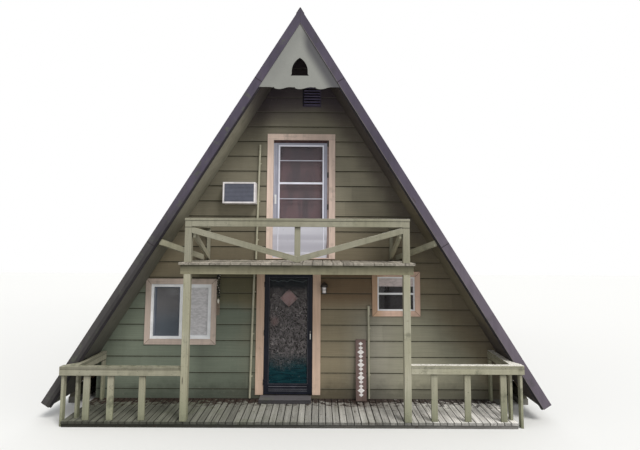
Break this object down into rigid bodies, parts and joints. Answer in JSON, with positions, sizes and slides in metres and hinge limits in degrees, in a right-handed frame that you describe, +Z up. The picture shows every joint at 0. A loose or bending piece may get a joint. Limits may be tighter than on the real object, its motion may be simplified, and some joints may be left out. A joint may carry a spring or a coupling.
{
  "type": "a-frame cabin",
  "caption": "Small timber a-frame cabin with lap-sided gable walls, a front porch with low rails and a railed balcony above it.",
  "frame": {"origin": "on the ground, under the middle of the cabin's box", "axes": "+Z up, the front with the porch faces -Y, +X to the right seen from the front"},
  "size_m": [7.7334, 9.22, 6.5364],
  "materials": {
    "concrete": "grey cast concrete, rough",
    "framing": "bare sawn softwood, aged",
    "floor_wood": "oiled floor boards",
    "siding_paint": "olive khaki painted lap siding, faded, slight mildew",
    "rail_paint": "sage grey-green paint, worn and chipped with moss",
    "soffit_paint": "grey-green painted soffit boards",
    "barge_paint": "dark purple-brown paint, chalky",
    "panel_paint": "pale grey-green painted panel",
    "roofing": "dark grey-brown shingles with mineral grit",
    "trim_paint": "peach tan painted trim boards, semi-gloss",
    "black_metal": "black enamel, satin",
    "hinge_metal": "dark bronze hinges",
    "handle_metal": "satin nickel handle",
    "entry_paint": "dark brown painted door",
    "clear_glass": "window glass",
    "diamond_glass": "pinkish obscure glass",
    "deck_wood": "weathered silver-grey deck boards",
    "white_vinyl": "white vinyl window frame",
    "blind": "off-white blind",
    "white_metal": "white enamelled aluminium, dulled",
    "mauve_paint": "mauve-brown painted inner door",
    "vent_metal": "dark grey painted louvres",
    "ac_case": "off-white enamelled case",
    "lamp_metal": "dark bronze lamp",
    "conduit_paint": "sage painted conduit",
    "sign_wood": "brown-mauve stained board"
  },
  "bodies": {
    "cabin": {"foundations": "concrete", "roof_sills": "framing", "ground_floor": "floor_wood", "upper_floor": "floor_wood", "knee_walls": "siding_paint", "front_wall_left": "siding_paint", "front_wall_right": "siding_paint", "front_wall_over_door": "siding_paint", "front_wall_upper": "siding_paint", "back_wall_lower": "siding_paint", "back_wall_upper": "siding_paint", "rafters": "framing", "ridge_board": "framing", "left_roof": "roofing", "right_roof": "roofing", "ridge_cap": "roofing", "front_barge_boards": "barge_paint", "back_barge_boards": "barge_paint", "fly_rafters": "soffit_paint", "soffits": "soffit_paint", "gable_panel": "panel_paint", "gable_vents": "vent_metal", "entry_trim": "trim_paint", "entry_frame": "trim_paint", "hinge_plates": "hinge_metal", "doorstep": "deck_wood", "window_trims": "trim_paint", "window_frames": "white_vinyl", "window_glass": "clear_glass", "window_blinds": "blind", "upper_door_trim": "trim_paint", "upper_door": "white_metal", "upper_door_glass": "clear_glass", "inner_upper_door": "mauve_paint", "air_conditioner": "ac_case", "porch_light": "lamp_metal", "conduits": "conduit_paint", "sign_board": "sign_wood", "chime": "lamp_metal", "porch_deck": "deck_wood", "left_porch_rail": "rail_paint", "right_porch_rail": "rail_paint", "balcony_deck": "deck_wood", "balcony_frame": "rail_paint", "balcony_posts": "rail_paint", "balcony_rails": "rail_paint", "balcony_struts": "rail_paint"},
    "storm_door": {"storm_door": "black_metal", "storm_door_glass": "clear_glass", "storm_door_handle": "handle_metal"},
    "entry_door": {"entry_door": "entry_paint", "entry_door_glass": "diamond_glass"}
  },
  "joints": [
    {"name": "storm_door_swing", "type": "hinge", "parent": "cabin", "child": "storm_door", "pos_m": [-0.594, -3.5375, 1.169], "axis": [0, 0, -1], "range_deg": [0, 90]},
    {"name": "entry_door_swing", "type": "hinge", "parent": "cabin", "child": "entry_door", "pos_m": [-0.594, -3.3795, 1.169], "axis": [0, 0, 1], "range_deg": [0, 90]}
  ]
}
